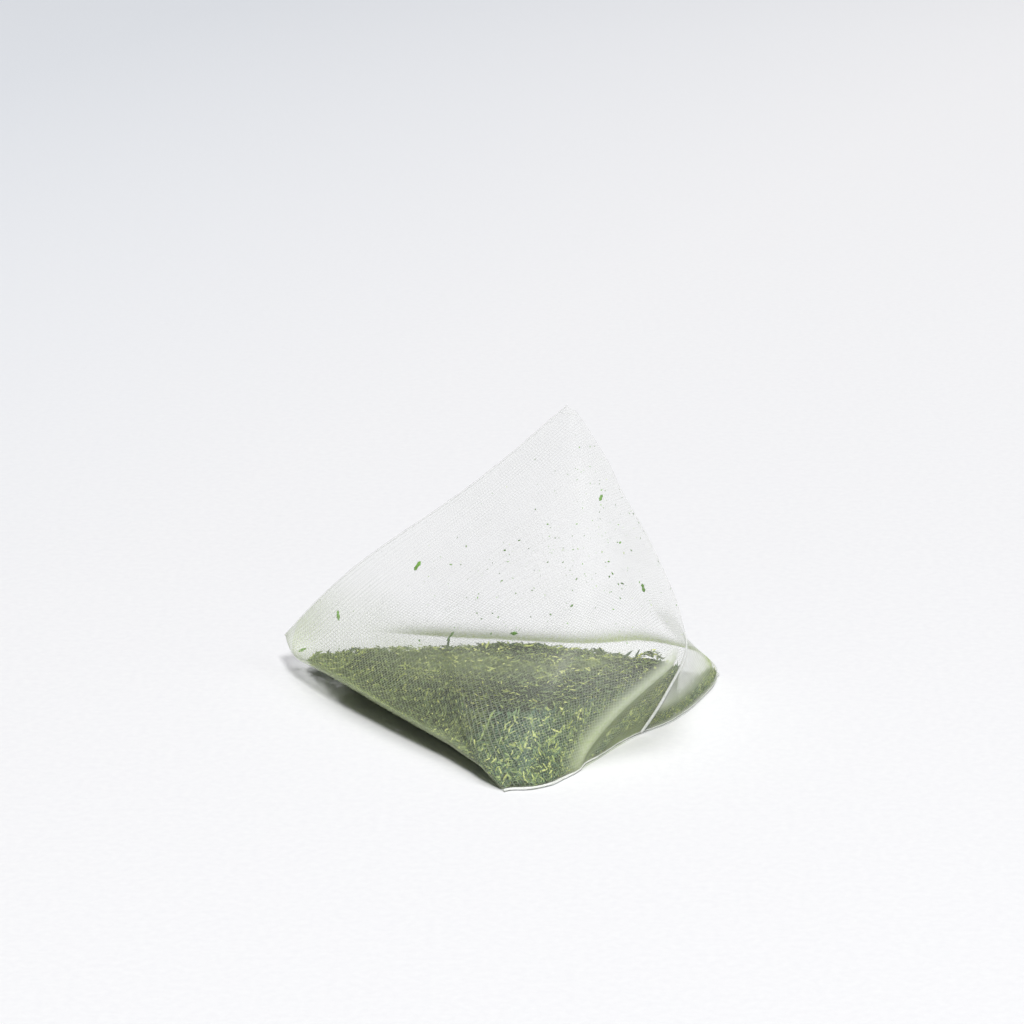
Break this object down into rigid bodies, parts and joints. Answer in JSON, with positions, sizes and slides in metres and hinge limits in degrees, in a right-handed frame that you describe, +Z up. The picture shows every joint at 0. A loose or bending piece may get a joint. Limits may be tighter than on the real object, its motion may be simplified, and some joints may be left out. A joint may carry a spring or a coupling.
{
  "type": "pyramid tea bag",
  "caption": "Four-cornered pyramid sachet of fine see-through woven mesh, welded along two crossed ends, with loose green leaf in its lower third.",
  "frame": {"origin": "under the middle of the bounding box, on the flat triangular base the bag stands on", "axes": "+Z up to the apex; +X to the right in the picture and the longest extent; Z is the shortest extent"},
  "size_m": [0.0609, 0.0507, 0.0431],
  "materials": {
    "mesh": "fine plain-woven clear filament, see-through, slight sheen",
    "leaf": "dry crushed green leaf, matt",
    "leaf_bright": "dry bright green leaf fragment, matt",
    "stem": "dry pale stem, matt"
  },
  "bodies": {
    "root": {"mesh_bag": "mesh", "tea_leaf_fill": "leaf", "leaf_bit_bright": "leaf_bright", "leaf_bit_left_edge": "leaf_bright", "leaf_bit_corner": "leaf_bright", "stem_sliver": "stem", "leaf_bit_middle": "leaf", "leaf_bit_upper": "leaf", "leaf_bit_right": "leaf"}
  },
  "joints": []
}
